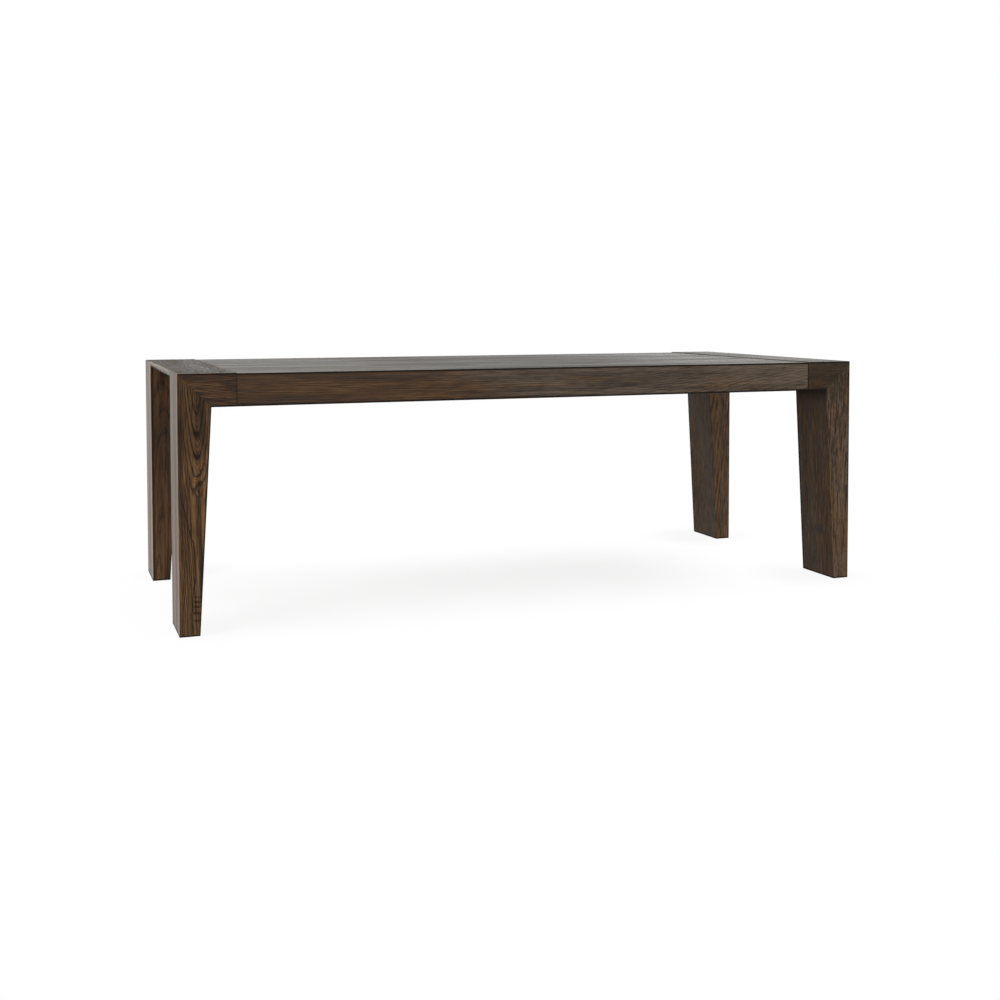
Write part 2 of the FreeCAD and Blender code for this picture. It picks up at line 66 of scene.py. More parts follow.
HALF_LENGTH = CAD_BOX[1].x
HALF_DEPTH = CAD_BOX[1].y
HEIGHT = CAD_BOX[1].z
LEG_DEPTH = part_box("left_front_leg_outer_panel")[1].y + HALF_DEPTH
FOOT_WIDTH = sum(corner.x + HALF_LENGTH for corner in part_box("left_front_leveller_pad"))
APRON_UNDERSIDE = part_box("front_apron")[0].z
CORNER_HEIGHT = HEIGHT - APRON_UNDERSIDE
KNEE_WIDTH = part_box("left_front_leg_inner_panel")[1].x + HALF_LENGTH
ARM_END = -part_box("left_front_corner_arm")[1].x
TOP_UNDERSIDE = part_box("top_panel")[0].z
END_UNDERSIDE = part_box("left_end_board")[0].z
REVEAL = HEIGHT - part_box("top_panel")[1].z
SIDES = ("left", "right")
CORNERS = ("left_front", "right_front", "left_rear", "right_rear")


# Settings

def colour(name, description, default):
    return bpy.props.FloatVectorProperty(name=name, description=description, subtype="COLOR", size=3,
                                         min=0, max=1, default=default)


class OakSettings(bpy.types.PropertyGroup):
    """The smoked oak of the legs, arms, aprons and top."""

    light: colour("Light Warm Wood", "Dense wood between the rings of a warm patch", (0.128, 0.070, 0.032))
    silver: colour("Light Cool Wood", "Dense wood between the rings of a greyer patch", (0.112, 0.080, 0.057))
    warm: colour("Warm Wood", "Ground of the warm patches", (0.062, 0.030, 0.0115))
    cool: colour("Cool Wood", "Ground of the greyer patches", (0.056, 0.041, 0.028))
    dark: colour("Dark Rings", "Open wood of each ring, where the stain settles", (0.011, 0.007, 0.0045))
    middle: colour("Middle Wood", "Colour that the contrast of the grain turns about", (0.058, 0.0355, 0.0195))
    # This colour also paints light on the lit outer faces of the left legs and on the upper end edges of the end
    # boards.
    worn_and_lit: colour("Worn Wood", "Edges and outer faces where the stain has rubbed thin", (0.292, 0.250, 0.204))
    sheen: bpy.props.FloatProperty(name="Roughness", description="Roughness of the satin lacquer",
                                   default=0.40, min=0.05, max=1, subtype="FACTOR")
    lacquer: bpy.props.FloatProperty(name="Lacquer Index", description="Refractive index of the thin lacquer",
                                     default=1.2, min=1, max=2)


class HiddenWoodSettings(bpy.types.PropertyGroup):
    """The plain wood inside the table."""

    pale: colour("Pale Wood", "Dense wood of the inner frame", (0.46, 0.31, 0.18))
    ground: colour("Inner Wood", "Ground of the inner frame", (0.33, 0.20, 0.105))
    ring: colour("Inner Rings", "Rings of the inner frame", (0.17, 0.095, 0.045))
    beech: colour("Beech", "Dowels and loose splines", (0.56, 0.38, 0.23))
    fleck: colour("Beech Flecks", "Short flecks in the beech", (0.34, 0.19, 0.10))


class FittingSettings(bpy.types.PropertyGroup):
    """The screws, bolts and levelling feet."""

    zinc: colour("Zinc", "Plated steel of screws and stems", (0.60, 0.60, 0.58))
    zinc_shade: colour("Zinc Shade", "Duller patches of the plating", (0.36, 0.37, 0.38))
    black: colour("Black Zinc", "Plated steel of the bolts, nuts and washers", (0.030, 0.031, 0.034))
    black_shade: colour("Black Zinc Shade", "Rubbed patches of the black plating", (0.090, 0.088, 0.085))
    brass: colour("Brass", "Threaded inserts", (0.70, 0.50, 0.22))
    brass_shade: colour("Brass Shade", "Tarnish on the inserts", (0.38, 0.24, 0.10))
    nylon: colour("Nylon", "Moulded pads under the stems", (0.030, 0.030, 0.032))
    nylon_scuff: colour("Nylon Scuffs", "Scuffs on the pads", (0.085, 0.084, 0.082))
    pitch: bpy.props.FloatProperty(name="Thread Pitch", description="Rise of the stems' thread in each turn",
                                   default=0.00125, min=0.0005, max=0.003, unit="LENGTH", precision=5)
    thread_depth: bpy.props.FloatProperty(name="Thread Depth", description="Depth of the stems' thread",
                                          default=0.00062, min=0.0001, max=0.001, unit="LENGTH", precision=5)
    recess_width: bpy.props.FloatProperty(name="Recess Width", description="Width of the cross in the screw heads",
                                          default=0.0010, min=0.0004, max=0.002, unit="LENGTH", precision=5)
    recess_length: bpy.props.FloatProperty(name="Recess Length", description="Length of the cross in the screw heads",
                                           default=0.0052, min=0.002, max=0.008, unit="LENGTH", precision=5)


class StudioSettings(bpy.types.PropertyGroup):
    """Camera, lights and floor."""

    place: bpy.props.FloatVectorProperty(name="Camera Place", description="Where the camera stands", size=3,
                                         subtype="TRANSLATION", unit="LENGTH", default=(-1.5450, -4.3028, 0.9576))
    turn: bpy.props.FloatVectorProperty(name="Camera Turn", description="Tilt, roll and heading of the camera", size=3,
                                        subtype="EULER", default=(math.pi / 2 - 0.0434, 0, -0.3729))
    lens: bpy.props.FloatProperty(name="Lens", description="Focal length in millimetres", default=46.474,
                                  min=10, max=300, unit="CAMERA")
    shift: bpy.props.FloatVectorProperty(name="Shift", description="Shift of the picture in its frame", size=2,
                                         default=(-0.0297, -0.13878))
    sky: bpy.props.FloatProperty(name="Room Light", description="Level of the light that comes from all round",
                                 default=0.42, min=0, max=2)
    key: bpy.props.FloatProperty(name="Key Light", description="Power of the large light at the upper left",
                                 default=300, min=0, max=1000, unit="POWER")
    fill: bpy.props.FloatProperty(name="Fill Light", description="Power of the light at the front",
                                  default=200, min=0, max=1000, unit="POWER")
    back: bpy.props.FloatProperty(name="Back Light", description="Power of the light behind the table",
                                  default=90, min=0, max=1000, unit="POWER")
    floor: colour("Floor", "Colour of the plain floor", (0.96, 0.96, 0.96))


# Shader building

class Value:
    """A socket whose value changes over a surface, written with plain operators."""

    def __init__(self, bench, socket):
        self.bench, self.socket = bench, socket

    def maths(self, operation, *values):
        return self.bench.node("ShaderNodeMath", {"operation": operation}, dict(enumerate(values)))

    def __add__(self, other):
        return self.maths("ADD", self, other)

    def __sub__(self, other):
        return self.maths("SUBTRACT", self, other)

    def __rsub__(self, other):
        return self.maths("SUBTRACT", other, self)

    def __mul__(self, other):
        return self.maths("MULTIPLY", self, other)

    def __truediv__(self, other):
        return self.maths("DIVIDE", self, other)

    def __abs__(self):
        return self.maths("ABSOLUTE", self)

    __radd__ = __add__
    __rmul__ = __mul__

    def least(self, other):
        return self.maths("MINIMUM", self, other)

    def most(self, other):
        return self.maths("MAXIMUM", self, other)

    def root(self):
        return self.maths("SQRT", self)

    def floor(self):
        return self.maths("FLOOR", self)

    def part(self):
        return self.maths("FRACT", self)

    def rise(self, low, high):
        """0 below low, 1 above high, and smooth between them."""
        return self.bench.node("ShaderNodeMapRange", {"interpolation_type": "SMOOTHSTEP"},
                               {"Value": self, "From Min": low, "From Max": high})

    def fall(self, low, high):
        """1 below low, 0 above high, and smooth between them."""
        return self.bench.node("ShaderNodeMapRange", {"interpolation_type": "SMOOTHSTEP"},
                               {"Value": self, "From Min": low, "From Max": high, "To Min": 1.0, "To Max": 0.0})


class Bench:
    """Where the nodes of one finish, floor or room are put together."""

    def __init__(self, owner):
        owner.use_nodes = True
        self.owner, self.tree = owner, owner.node_tree
        self.tree.nodes.clear()

    def node(self, kind, settings=None, inputs=None, output=0):
        made = self.tree.nodes.new(kind)
        for name, setting in (settings or {}).items():
            setattr(made, name, setting)
        for name, value in (inputs or {}).items():
            if isinstance(value, Value):
                self.tree.links.new(value.socket, made.inputs[name])
            elif hasattr(value, "__len__") and len(value) == 3 and made.inputs[name].type == "RGBA":
                made.inputs[name].default_value = (*value, 1)
            else:
                made.inputs[name].default_value = value
        return Value(self, made.outputs[output]) if made.outputs else None

    def place(self):
        """Where a point of the piece is, as three values in metres."""
        spot = self.node("ShaderNodeTexCoord", output="Object")
        return [self.node("ShaderNodeSeparateXYZ", None, {0: spot}, axis) for axis in "XYZ"]

    def point(self, x, y, z):
        return self.node("ShaderNodeCombineXYZ", None, {0: x, 1: y, 2: z})

    def noise(self, spot, detail=2.0, roughness=0.5, scale=1.0):
        return self.node("ShaderNodeTexNoise", None,
                         {"Vector": spot, "Scale": scale, "Detail": detail, "Roughness": roughness})

    def mix(self, factor, first, second):
        return self.node("ShaderNodeMix", {"data_type": "RGBA"}, {"Factor": factor, 6: first, 7: second}, 2)

    def finish(self, base, roughness, height, depth, **constants):
        """The shader that the colour, the roughness and the relief of depth metres go into."""
        bump = self.node("ShaderNodeBump", None, {"Strength": 1.0, "Distance": depth, "Height": height})
        shader = self.node("ShaderNodeBsdfPrincipled", None,
                           {"Base Color": base, "Roughness": roughness, "Normal": bump, **constants})
        self.node("ShaderNodeOutputMaterial", None, {"Surface": shader})
        return self.owner


class Board:
    """How one board was sawn: the way its grain runs, where the heart of the tree lay, and how even it is."""

    def __init__(self, grain, heart, at=0.0, lean=(0.0, 0.0), curve=(0.0, 0.0), ring=0.0095, closing=0.0, wave=0.010,
                 figure=1.0, contrast=1.0, streak=1.0, mottle=0.3, warmth=0.5, cooling=0.0, tone=1.0,
                 tint=(1.0, 1.0, 1.0), paling=(0.0, 0.0), dull=0.0, dulling=0.0, flecks=0.0, knots=(), seed=1):
        self.grain, self.heart, self.at, self.lean, self.curve = grain, heart, at, lean, curve
        self.ring, self.closing, self.wave, self.figure = ring, closing, wave, figure
        self.contrast, self.streak, self.mottle = contrast, streak, mottle
        self.warmth, self.cooling, self.paling = warmth, cooling, paling
        self.tint = [tone * share for share in tint]
        self.dull, self.dulling, self.flecks, self.knots, self.seed = dull, dulling, flecks, knots, seed


class Grain:
    """The figure of a board at a point: rings, fibres, pores and patches, as values from 0 to 1."""

    def __init__(self, bench, board, spot):
        self.bench, self.board = bench, board
        x, y, z = spot
        self.along, self.across, self.deep = {"X": (x, z, y), "Y": (y, x, z), "Z": (z, x, y)}[board.grain]
        drift = self.along - board.at
        bent = drift.most(0.0)
        side = self.across - board.heart[0] - drift * board.lean[0] - bent * board.curve[0]
        back = self.deep - board.heart[1] - drift * board.lean[1] - bent * board.curve[1]
        side = side + self.sway(7, 1.5, 1) * board.wave
        back = back + self.sway(7, 1.5, 2) * board.wave
        radius = (side * side + back * back).root()
        for across, along, size, push in board.knots:
            away = (self.across - across) * (self.across - across) * 2.2 + (self.along - along) * (self.along - along)
            radius = radius + away.root().fall(0.0, size) * push
        radius = radius + radius * radius * board.closing
        count = radius / board.ring + self.sway(26, 2.6, 3) * 0.5 + self.sway(210, 11, 12) * 0.55
        strength = bench.node("ShaderNodeTexWhiteNoise", {"noise_dimensions": "1D"}, {"W": count.floor() + board.seed})
        part = count.part()
        broken = self.streaks(300, 26, 13).rise(0.28, 0.55) * 0.6 + 0.4
        self.ring = part.fall(0.0, 0.42).most(part.rise(0.90, 1.0)) * (strength * 0.7 + 0.3) * broken
        fine = (radius / (board.ring * 0.27) + self.sway(60, 3.0, 4)).part()
        self.fine = fine.fall(0.0, 0.6).most(fine.rise(0.85, 1.0))
        self.fibre = self.streaks(330, 9, 5, 4.0, 0.65)
        self.broad = self.streaks(42, 2.0, 6, 3.0)
        self.patch = self.streaks(7, 1.3, 7, 2.0)
        open_wood = self.ring * 0.65 + 0.35
        self.pores = self.streaks(560, 20, 8, 2.0).rise(0.56, 0.68) * open_wood
        self.rays = self.streaks(150, 26, 9, 1.0).rise(0.62, 0.74)
        self.cloud = self.streaks(75, 9, 10, 3.0)
        self.dashes = self.streaks(190, 17, 11, 3.0)
        self.flecks = self.streaks(240, 62, 14, 2.0).rise(0.50, 0.64)
        self.stripe = self.streaks(22, 1.6, 15, 2.0)

    def streaks(self, cross, lengthwise, seed, detail=2.0, roughness=0.5):
        """Noise that is drawn out along the grain, with cross and lengthwise cells to the metre."""
        shift = self.board.seed * 3.71 + seed * 11.3
        spot = self.bench.point(self.across * cross + shift, self.deep * cross - shift, self.along * lengthwise + shift)
        return self.bench.noise(spot, detail, roughness)

    def sway(self, cross, lengthwise, seed):
        return self.streaks(cross, lengthwise, seed) - 0.5


def oak(name, board, marks=None):
    """Smoked oak under a thin satin lacquer."""
    shades = bpy.context.scene.table_oak
    bench = Bench(bpy.data.materials.new(name))
    spot = bench.place()
    grain = Grain(bench, board, spot)
    dark, worn_and_lit = marks(*spot) if marks else (None, None)
    even = 1 - board.streak
    warm = (grain.patch * board.streak + 0.5 * even + grain.cloud * 0.5 + (board.warmth - 0.75)
            - grain.along * board.cooling).rise(0.36, 0.64)
    cool, warmer, silver, lit = ([part * share for part, share in zip(shade, board.tint)]
                                 for shade in (shades.cool, shades.warm, shades.silver, shades.light))
    ground, light = bench.mix(warm, cool, warmer), bench.mix(warm, silver, lit)
    slope, middle = board.paling
    paling = (grain.along - middle).least(0.25) * slope
    paleness = (grain.broad.rise(0.36, 0.68) * (0.55 * board.streak) + 0.27 * even + grain.fibre.rise(0.42, 0.70) * 0.30
                + (grain.cloud.rise(0.38, 0.66) * 0.6 + grain.dashes.rise(0.42, 0.62) - 0.7) * (0.5 * board.mottle)
                + grain.flecks * board.flecks + paling)
    pale = bench.mix(paleness.most(0.0).least(1.0), ground, light)
    depth = ((grain.ring * 0.86 + grain.fine * 0.28) * board.figure + grain.fibre.fall(0.30, 0.52) * 0.34
             + grain.broad.fall(0.30, 0.50) * (0.36 * board.streak) + 0.06 * even
             + grain.dashes.fall(0.36, 0.52) * (0.4 * board.mottle) - paling * 0.22)
    veined = bench.mix(depth.most(0.0).least(0.94), pale, list(shades.dark))
    pored = bench.mix((grain.pores * 0.55).most(grain.rays * 0.22), veined, list(shades.dark))
    bold = bench.node("ShaderNodeGamma", None, {"Color": pored, "Gamma": board.contrast})
    level = [(part * share) ** (1 - board.contrast) for part, share in zip(shades.middle, board.tint)]
    base = bench.node("ShaderNodeVectorMath", {"operation": "MULTIPLY"}, {0: bold, 1: level})
    # The light share lightens rubbed wood, and also paints light on lit faces and edges.
    if worn_and_lit:
        streaked_share = (grain.broad.rise(0.36, 0.62) * 0.5 + grain.fibre.rise(0.38, 0.62) * 0.4 + 0.2).least(1.0)
        base = bench.mix(worn_and_lit * streaked_share, base, list(shades.worn_and_lit))
    # The dark share darkens stains and joints, and also paints shade.
    if dark:
        base = bench.mix(dark, base, [part * 0.5 for part in shades.dark])
    roughness = (grain.fibre * 0.30 + grain.stripe * 0.34 + grain.broad * 0.44 + grain.patch * 0.22 + grain.pores * 0.16
                 + (grain.dashes - 0.5) * (0.5 * board.mottle) + (grain.along - board.at) * board.dulling
                 + (shades.sheen + board.dull - 0.64)).most(0.2)
    if dark:
        roughness = roughness + dark * 0.35
    height = grain.fibre * 0.35 - grain.pores * 0.8 - grain.ring * 0.25
    return bench.finish(base, roughness, height, 0.00018, IOR=shades.lacquer)


def plain_wood(name, board):
    """Planed wood of the inner frame, with no lacquer."""
    shades = bpy.context.scene.table_hidden_wood
    bench = Bench(bpy.data.materials.new(name))
    grain = Grain(bench, board, bench.place())
    ground = bench.mix(grain.broad.rise(0.3, 0.7), list(shades.ground), list(shades.pale))
    ringed = bench.mix(grain.ring * 0.55 + grain.fine * 0.15, ground, list(shades.ring))
    pores = grain.pores * 0.5 + grain.fibre.fall(0.3, 0.55) * 0.25
    pored = bench.mix(pores, ringed, [part * 0.6 for part in shades.ring])
    roughness = grain.fibre * 0.18 + grain.pores * 0.1 + 0.52
    return bench.finish(pored, roughness, grain.fibre * 0.5 - grain.pores, 0.0002)


def beech(name, board):
    """Close-grained beech with its short flecks."""
    shades = bpy.context.scene.table_hidden_wood
    bench = Bench(bpy.data.materials.new(name))
    grain = Grain(bench, board, bench.place())
    flecks = grain.streaks(700, 120, 3, 1.0).rise(0.60, 0.70)
    ground = bench.mix(grain.broad.rise(0.3, 0.7) * 0.35, list(shades.beech), [part * 0.8 for part in shades.beech])
    base = bench.mix(flecks * 0.6 + grain.ring * 0.15, ground, list(shades.fleck))
    return bench.finish(base, grain.fibre * 0.2 + 0.48, grain.fibre * 0.5 - flecks * 0.4, 0.0001)


def metal(name, bright, shade, smoothest):
    """Plated or turned metal with dull patches and fine lines."""
    bench = Bench(bpy.data.materials.new(name))
    x, y, z = bench.place()
    blotch = bench.noise(bench.point(x * 220, y * 220, z * 220), 3.0)
    lines = bench.noise(bench.point(x * 900, y * 900, z * 4200), 2.0)
    base = bench.mix(blotch.rise(0.38, 0.66) * 0.7 + lines.rise(0.4, 0.7) * 0.2, list(bright), list(shade))
    roughness = blotch * 0.16 + lines * 0.10 + smoothest
    return bench.finish(base, roughness, lines * 0.6 + blotch * 0.4, 0.00004, Metallic=1.0)


def nylon(name):
    """Moulded nylon with a fine grain and scuffs where it meets the floor."""
    shades = bpy.context.scene.table_fittings
    bench = Bench(bpy.data.materials.new(name))
    x, y, z = bench.place()
    skin = bench.noise(bench.point(x * 2400, y * 2400, z * 2400), 2.0)
    scuffs = bench.noise(bench.point(x * 160, y * 700, z * 300), 3.0).rise(0.56, 0.72) * z.fall(0.0005, 0.004)
    base = bench.mix(scuffs * 0.7 + skin * 0.12, list(shades.nylon), list(shades.nylon_scuff))
    return bench.finish(base, skin * 0.18 + scuffs * 0.12 + 0.42, skin * 0.7 - scuffs * 0.3, 0.00006)


def paint(material, names):
    """Gives CAD pieces their finish."""
    for name in names:
        for slot in NODES[name].material_slots:
            slot.material = material


# Modelling of the small fittings

def choose(*pieces):
    """Selects these pieces alone, with the first of them active."""
    bpy.ops.object.select_all(action="DESELECT")
    for piece in pieces:
        piece.select_set(True)
    bpy.context.view_layer.objects.active = pieces[0]
    return pieces[0]


def turned(stations, sides, turn=0.0):
    """A solid round the upright axis, drawn up from its lowest disc through stations of height and radius."""
    bpy.ops.object.select_all(action="DESELECT")
    height, radius = stations[0]
    bpy.ops.mesh.primitive_circle_add(vertices=sides, radius=radius, fill_type="NGON", location=(0, 0, height),
                                      rotation=(0, 0, turn))
    piece = bpy.context.object
    bpy.ops.object.transform_apply(location=True, rotation=True, scale=True)
    bpy.ops.object.mode_set(mode="EDIT")
    bpy.ops.mesh.select_all(action="SELECT")
    for higher, wider in stations[1:]:
        bpy.ops.mesh.extrude_region_move(TRANSFORM_OT_translate={"value": (0, 0, higher - height)})
        bpy.ops.transform.resize(value=(wider / radius, wider / radius, 1), center_override=(0, 0, higher))
        height, radius = higher, wider
    bpy.ops.mesh.select_all(action="SELECT")
    bpy.ops.mesh.normals_make_consistent(inside=False)
    bpy.ops.object.mode_set(mode="OBJECT")
    return piece


def thread(low, high, root, crest, pitch):
    """The ridge of a screw thread round the upright axis, wide at its root and narrow at its crest."""
    middle, first_turn, root_share, crest_share = (root + crest) / 2, low + pitch / 2, 0.84, 0.16
    bpy.ops.object.select_all(action="DESELECT")
    bpy.ops.mesh.primitive_plane_add(size=1, location=(middle, 0, first_turn), rotation=(math.pi / 2, 0, 0))
    ridge = bpy.context.object
    ridge.scale = (crest - root, pitch * root_share, 1)
    bpy.ops.object.transform_apply(location=True, rotation=True, scale=True)
    for vertex in ridge.data.vertices:
        vertex.select = vertex.co.x > middle
    bpy.ops.object.mode_set(mode="EDIT")
    bpy.ops.transform.resize(value=(1, 1, crest_share), center_override=(crest, 0, first_turn))
    bpy.ops.mesh.select_all(action="SELECT")
    bpy.ops.mesh.delete(type="ONLY_FACE")
    bpy.ops.object.mode_set(mode="OBJECT")
    screw = ridge.modifiers.new("winding", "SCREW")
    screw.axis, screw.screw_offset, screw.iterations = "Z", pitch, int((high - low) / pitch) - 1
    screw.steps = screw.render_steps = 20
    bpy.ops.object.modifier_apply(modifier=screw.name)
    bpy.ops.object.mode_set(mode="EDIT")
    bpy.ops.mesh.select_all(action="SELECT")
    bpy.ops.mesh.remove_doubles(threshold=0.000001)
    bpy.ops.mesh.fill_holes(sides=4)
    bpy.ops.mesh.select_all(action="SELECT")
    bpy.ops.mesh.normals_make_consistent(inside=False)
    bpy.ops.object.mode_set(mode="OBJECT")
    return ridge


def joined(name, pieces, finish):
    """One piece of several, with its finish and with flat faces kept flat."""
    whole = choose(*pieces)
    if len(pieces) > 1:
        bpy.ops.object.join()
    bpy.ops.object.shade_smooth_by_angle(angle=math.radians(35))
    whole.name = whole.data.name = name
    whole.data.materials.clear()
    whole.data.materials.append(finish)
    return whole


def copied(name, pattern, place):
    """A copy of a piece with its own mesh, moved to its place."""
    choose(pattern)
    bpy.ops.object.duplicate(linked=False)
    copy = bpy.context.object
    copy.location = place
    bpy.ops.object.transform_apply(location=True, rotation=True, scale=True)
    copy.name = copy.data.name = name
    return copy


def foot_of(name):
    """The middle of the lower end of a CAD piece."""
    low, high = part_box(name)
    return (low.x + high.x) / 2, (low.y + high.y) / 2, low.z


def screw_places():
    """The middle of each screw's lower end and the screws' length, from the node that holds them all."""
    screw_width = 0.0095
    screws = []
    for vertex in NODES["top_screws"].data.vertices:
        for corners in screws:
            if (corners[0] - vertex.co).xy.length < screw_width:
                corners.append(vertex.co.copy())
                break
        else:
            screws.append([vertex.co.copy()])
    places = []
    for corners in screws:
        xs, ys, zs = zip(*corners)
        places.append(((min(xs) + max(xs)) / 2, (min(ys) + max(ys)) / 2, min(zs)))
    heights = [corner.z for corner in screws[0]]
    return places, max(heights) - min(heights)


# Marks that belong to the way the pieces were made and used, with painted shade and painted light among them
# Each function named after a piece gives the dark share of a point, for stains, joints and painted shade, and its light
# share, for rubbed wood and painted light, which may be None

# Each dark spot of the left front leg: its place across the leg, its height, its size and its strength
LEG_SPOTS = ((0.052, 0.590, 0.016, 0.55), (0.054, 0.525, 0.017, 0.60), (0.059, 0.442, 0.013, 0.72))
# Each short check near its foot: its height and its strength
LEG_CHECKS = ((0.114, 0.55), (0.100, 0.80), (0.0865, 0.85), (0.0680, 0.75), (0.0455, 0.60))
# Each wavy vein below its knot: its distance from the first one, its width and its strength
LEG_VEINS = ((0.0, 0.0030, 0.75), (-0.0065, 0.0018, 0.40), (-0.0125, 0.0022, 0.55), (-0.0190, 0.0018, 0.40),
             (-0.0255, 0.0022, 0.55), (-0.0330, 0.0018, 0.45))


def strongest(first, *others):
    """The greatest of several values at each point."""
    for other in others:
        first = first.most(other)
    return first


# Serves the rubbed arrises and the painted shade along arrises.
def rubbed(first, second, width=0.0032):
    """1 on the arris where two faces meet, each given as the distance from it."""
    return first.most(second).fall(width * 0.35, width)


def mitre_seam(x, z):
    """The fine line of the mitre between a leg and its arm."""
    gap = abs((HALF_LENGTH - abs(x)) * (CORNER_HEIGHT / KNEE_WIDTH) - (HEIGHT - z)) * math.sqrt(0.5)
    return gap.fall(0.0003, 0.0012) * 0.4


def arm_joint(x):
    """The dark line where an arm meets an apron."""
    return abs(abs(x) - ARM_END).fall(0.0006, 0.0024) * 0.7


def leg_marks(x, y, z):
    """Painted shade on the arrises, under the apron, on the heads of the right legs and in a line by the outer arris of
    a left leg, the mitre, a painted contact shadow at the foot, and painted light with bleaching on the outer face of a
    left leg.
    """
    outer = HALF_LENGTH - abs(x)
    slope = (KNEE_WIDTH - FOOT_WIDTH) / APRON_UNDERSIDE
    inner = abs(abs(x) - (HALF_LENGTH - FOOT_WIDTH) + z * slope)
    outward = HALF_DEPTH - abs(y)
    inward = abs(y) - (HALF_DEPTH - LEG_DEPTH)
    faces = outward.least(abs(inward))
    left, front = x.fall(-0.1, 0.1), y.fall(-0.1, 0.1)
    right, rear = 1 - left, 1 - front
    deep = outward * front + inward * rear
    # Painted light with bleaching: the outer face of a left leg is paler, most near its arris with the face towards the
    # front.
    bands = deep.fall(0.030, 0.055) * 0.30 + abs(deep - 0.128).fall(0.012, 0.034) * 0.16 + 0.13 + rear * 0.12
    bleached_and_lit = outer.fall(0.0004, 0.0016) * bands
    behind = (y * (abs(inward) - outward)).rise(-0.0005, 0.0005)
    # Painted shade on the arrises: the inner arrises of all legs are darker, wider on the right legs, and so are the
    # outer arrises of the right legs.
    left_arris_shade = rubbed(inner, faces, 0.0055) * left
    right_arris_shade = (rubbed(inner, faces, 0.013) * behind * 0.9).most(rubbed(outer, faces, 0.006)) * right
    # Painted shade: a dark band at the top of each leg's inner face, under the apron.
    corner = z.rise(APRON_UNDERSIDE - 0.055, APRON_UNDERSIDE) * inner.fall(0.003, 0.006) * 0.65
    # Painted shade: the heads of the right legs are darker.
    head = z.rise(APRON_UNDERSIDE - 0.08, HEIGHT - 0.03) * right * 0.32
    # Painted shadow: a dark line on the inward face of a left leg, beside its outer arris.
    recess = abs(inward).fall(0.0005, 0.0015) * outer.rise(0.0012, 0.0025) * outer.fall(0.004, 0.013) * left * 0.9
    # Painted contact shadow along the foot of every leg.
    foot_shadow = z.fall(0.0025, 0.007) * 0.95
    return strongest(mitre_seam(x, z), foot_shadow, left_arris_shade, right_arris_shade, corner, head, recess), bleached_and_lit * left


def left_front_leg_marks(x, y, z):
    """The marks, painted shade and painted light of any leg, with the knots, the wavy veins and the short checks of
    this one, and painted shade at the head and the foot of its front.
    """
    seam_and_shade, bleached_and_lit = leg_marks(x, y, z)
    face = (y + HALF_DEPTH).fall(0.004, 0.012)
    sideways = x + HALF_LENGTH
    ragged = x.bench.noise(x.bench.point(x * 240, y * 240, z * 150), 3.0)
    uneven = ragged - 0.5
    spots = [((sideways - place) * (sideways - place) * 0.7 + (z - height) * (z - height)).root().fall(0.002, size)
             * strength for place, height, size, strength in LEG_SPOTS]
    checks = [abs(z - height + (sideways - 0.048) * 0.10 + uneven * 0.012).fall(0.0008, 0.0052) * strength
              for height, strength in LEG_CHECKS]
    checked = (sideways + uneven * 0.016).rise(0.034, 0.044) * (ragged.rise(0.30, 0.52) * 0.5 + 0.5)
    path = 0.047 - z.rise(0.20, 0.47) * 0.044 - z.fall(0.04, 0.20) * 0.012
    wander = x.bench.noise(x.bench.point(x * 14, y * 14, z * 16), 2.0) - 0.5
    aside = sideways - path + wander * 0.014
    veins = [abs(aside - place).fall(width * 0.3, width) * strength for place, width, strength in LEG_VEINS]
    veined = z.fall(0.39, 0.45) * (ragged.rise(0.30, 0.50) * 0.4 + 0.6)
    drawn = strongest(*spots, strongest(*checks) * checked, strongest(*veins) * veined)
    # Painted shade at the head and the foot of the front face.
    shade = z.rise(0.44, 0.60) * 0.54 + z.fall(0.08, 0.30) * 0.36
    return seam_and_shade.most((drawn + shade * (1 - drawn)) * face), bleached_and_lit


def arm_marks(x, y, z):
    """Painted shade along the arrises, the mitre and the joint with the apron."""
    # Painted shade along the top and bottom arrises of the outer face.
    stain = rubbed(HALF_DEPTH - abs(y), (HEIGHT - z).least(z - APRON_UNDERSIDE), 0.0085)
    return strongest(mitre_seam(x, z), arm_joint(x), stain), None


def apron_marks(x, y, z):
    """Painted shade along the arrises, and the joints with the arms."""
    face = abs(HALF_DEPTH - REVEAL - abs(y))
    # Painted shade along the top and bottom arrises of the outer face.
    stain = rubbed(face, abs(HEIGHT - REVEAL - z).least(z - APRON_UNDERSIDE), 0.0085)
    return stain.most(arm_joint(x)), None


def top_marks(x, y, z):
    """A dull underside darkened as painted shade, and a darker, duller middle."""
    # Painted shade darkens the dull underside.
    under = z.fall(TOP_UNDERSIDE + 0.0005, TOP_UNDERSIDE + 0.002) * 0.35
    return under.most(abs(x - 0.05).fall(0.15, 0.80) * 0.24), None


def end_board_marks(x, y, z):
    """A dull underside darkened as painted shade, rubbed arrises lightened also as painted highlights, and a painted
    highlight on the upper end edge with painted shade below it.
    """
    top = HEIGHT - z
    # Painted shade darkens the dull underside.
    under = z.fall(END_UNDERSIDE + 0.0005, END_UNDERSIDE + 0.002) * 0.35
    arris = rubbed(HALF_LENGTH - abs(x), top).most(rubbed(HALF_DEPTH - abs(y), top))
    edge = (HALF_LENGTH - abs(x)).fall(0.0005, 0.002)
    # Painted shade on the lower part of the end edge, reaching higher towards the rear.
    shade = (top + y * 0.010).rise(0.011, 0.016) * edge * 0.8
    # The light share: rubbed arrises, also painted as highlights, and a painted highlight on the upper end edge.
    return shade.most(under), arris.most(edge * top.fall(0.004, 0.014) * 0.7)


# Operators

